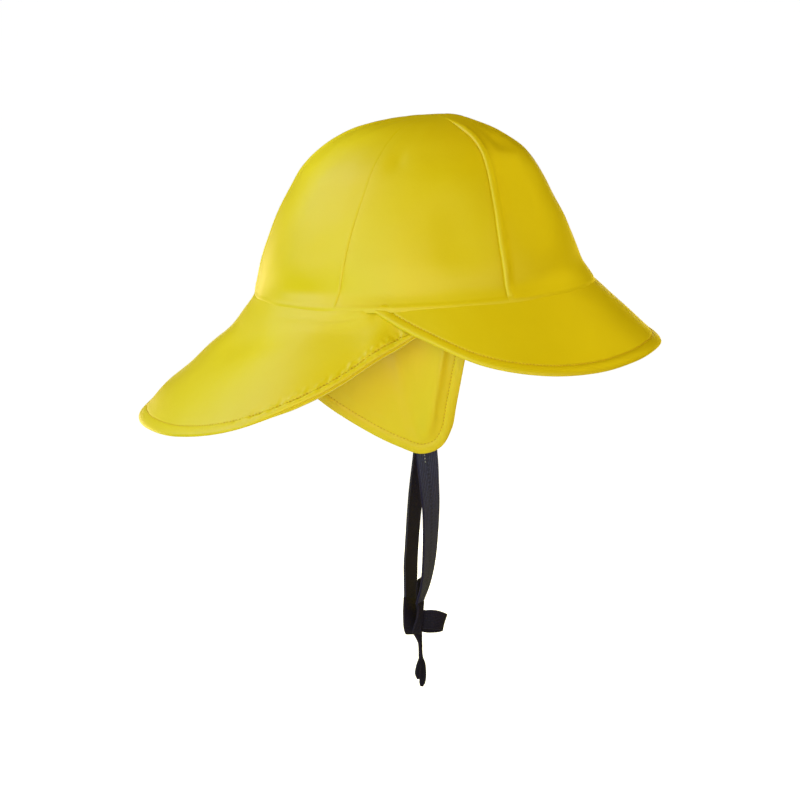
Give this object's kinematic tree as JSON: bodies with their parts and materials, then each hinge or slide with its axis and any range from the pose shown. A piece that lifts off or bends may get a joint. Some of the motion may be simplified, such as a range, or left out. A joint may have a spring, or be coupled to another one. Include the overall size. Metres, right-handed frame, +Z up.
{
  "type": "rain hat",
  "caption": "Child's sou'wester rain hat in coated cloth: gored crown, short peak, long sloping neck flap, ear flaps and an elastic chin strap tied in a half bow.",
  "frame": {"origin": "centre of the head opening, at the crown's lower edge", "axes": "+Z up as worn, +X out over the peak, +Y to the wearer's left; the opening's plane is tilted 3 degrees, front edge up"},
  "size_m": [0.2811, 0.2084, 0.3153],
  "materials": {
    "coated_cloth": "satin",
    "elastic": "matte"
  },
  "bodies": {
    "root": {"crown_panel_front_left": "coated_cloth", "crown_panel_front_right": "coated_cloth", "crown_panel_side_left": "coated_cloth", "crown_panel_side_right": "coated_cloth", "crown_panel_back_left": "coated_cloth", "crown_panel_back_right": "coated_cloth", "peak": "coated_cloth", "neck_flap": "coated_cloth", "ear_flap_left": "coated_cloth", "ear_flap_right": "coated_cloth", "chin_strap_right": "elastic", "chin_strap_left": "elastic", "strap_knot": "elastic", "strap_bow_loop": "elastic", "strap_tail": "elastic"}
  },
  "joints": []
}
